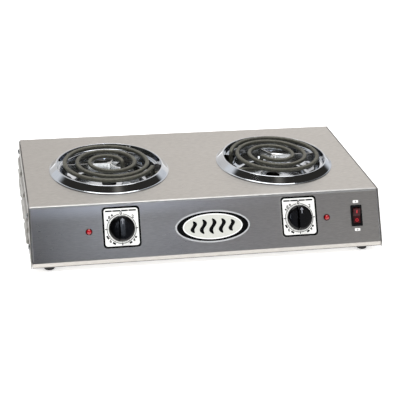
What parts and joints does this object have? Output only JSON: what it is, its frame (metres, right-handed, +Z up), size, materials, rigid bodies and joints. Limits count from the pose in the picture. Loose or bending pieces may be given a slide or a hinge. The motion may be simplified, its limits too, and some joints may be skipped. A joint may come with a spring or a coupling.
{
  "type": "hot plate",
  "caption": "Twin electric hot plate in a folded steel housing: coil elements over chrome drip pans, sloping front with rotary regulators, lamps and a rocker switch.",
  "frame": {"origin": "on the table, under the middle of the object's bounding box", "axes": "+X to the right across the front, +Y to the back, +Z up; the controls face -Y"},
  "size_m": [0.568, 0.328, 0.1081],
  "materials": {
    "brushed_stainless": "fine brushed stainless sheet",
    "zinc_steel": "bright zinc plate",
    "screw_steel": "plated steel",
    "shield_aluminium": "mill finish",
    "foot_rubber": "moulded rubber",
    "pan_chrome": "polished chrome plate",
    "element_sheath": "heat-dulled alloy sheath",
    "spider_stainless": "stainless strip",
    "terminal_ceramic": "unglazed steatite",
    "brass": "tin-bright brass",
    "regulator_phenolic": "moulded phenolic",
    "knob_black": "gloss moulded phenolic",
    "print_white": "white print",
    "dial_white": "printed plate",
    "lamp_red": "clear red jewel",
    "lamp_nylon": "natural nylon",
    "switch_red": "smoked red polycarbonate",
    "switch_black": "moulded nylon",
    "badge_metal": "printed aluminium",
    "gland_black": "moulded nylon",
    "glass_sleeve": "braided glass sleeve"
  },
  "bodies": {
    "housing": {"housing_wrap": "brushed_stainless", "side_panel_left": "brushed_stainless", "side_panel_right": "brushed_stainless", "base_pan": "zinc_steel", "corner_brackets": "zinc_steel", "side_screws": "screw_steel", "base_screws": "screw_steel", "foot_screws": "screw_steel", "heat_shield": "shield_aluminium", "foot_front_left": "foot_rubber", "foot_front_right": "foot_rubber", "foot_back_left": "foot_rubber", "foot_back_right": "foot_rubber", "rocker_housing": "switch_black", "rocker_tabs": "brass", "switch_labels": "print_white", "badge": "badge_metal", "cord_gland": "gland_black", "gland_nut": "gland_black", "mains_block": "terminal_ceramic", "mains_block_screws": "brass", "earth_screw": "brass", "wiring": "glass_sleeve", "drip_pan_left": "pan_chrome", "terminal_bracket_left": "zinc_steel", "hinge_pin_left": "screw_steel", "regulator_left": "regulator_phenolic", "regulator_tabs_left": "brass", "panel_nut_left": "screw_steel", "dial_plate_left": "dial_white", "lamp_lens_left": "lamp_red", "lamp_body_left": "lamp_nylon", "drip_pan_right": "pan_chrome", "terminal_bracket_right": "zinc_steel", "hinge_pin_right": "screw_steel", "regulator_right": "regulator_phenolic", "regulator_tabs_right": "brass", "panel_nut_right": "screw_steel", "dial_plate_right": "dial_white", "lamp_lens_right": "lamp_red", "lamp_body_right": "lamp_nylon"},
    "left_knob": {"knob_left": "knob_black", "knob_pointer_left": "print_white", "regulator_shaft_left": "screw_steel"},
    "right_knob": {"knob_right": "knob_black", "knob_pointer_right": "print_white", "regulator_shaft_right": "screw_steel"},
    "rocker": {"rocker": "switch_red"},
    "left_element": {"coil_left": "element_sheath", "spider_left": "spider_stainless", "terminal_block_left": "terminal_ceramic", "terminal_contacts_left": "brass"},
    "right_element": {"coil_right": "element_sheath", "spider_right": "spider_stainless", "terminal_block_right": "terminal_ceramic", "terminal_contacts_right": "brass"}
  },
  "joints": [
    {"name": "left_knob_turn", "type": "hinge", "parent": "housing", "child": "left_knob", "pos_m": [-0.1395, -0.14107, 0.05726], "axis": [0, -0.8686, 0.4955], "continuous": true},
    {"name": "right_knob_turn", "type": "hinge", "parent": "housing", "child": "right_knob", "pos_m": [0.1445, -0.14107, 0.05726], "axis": [0, -0.8686, 0.4955], "continuous": true},
    {"name": "rocker_tilt", "type": "hinge", "parent": "housing", "child": "rocker", "pos_m": [0.24, -0.13989, 0.05428], "axis": [-1, 0, 0], "range_deg": [0, 20]},
    {"name": "left_element_lift", "type": "hinge", "parent": "housing", "child": "left_element", "pos_m": [-0.028, -0.00241, 0.078], "axis": [0, 1, 0], "range_deg": [0, 15]},
    {"name": "right_element_lift", "type": "hinge", "parent": "housing", "child": "right_element", "pos_m": [0.028, 0.01791, 0.078], "axis": [0, -1, 0], "range_deg": [0, 15]}
  ]
}
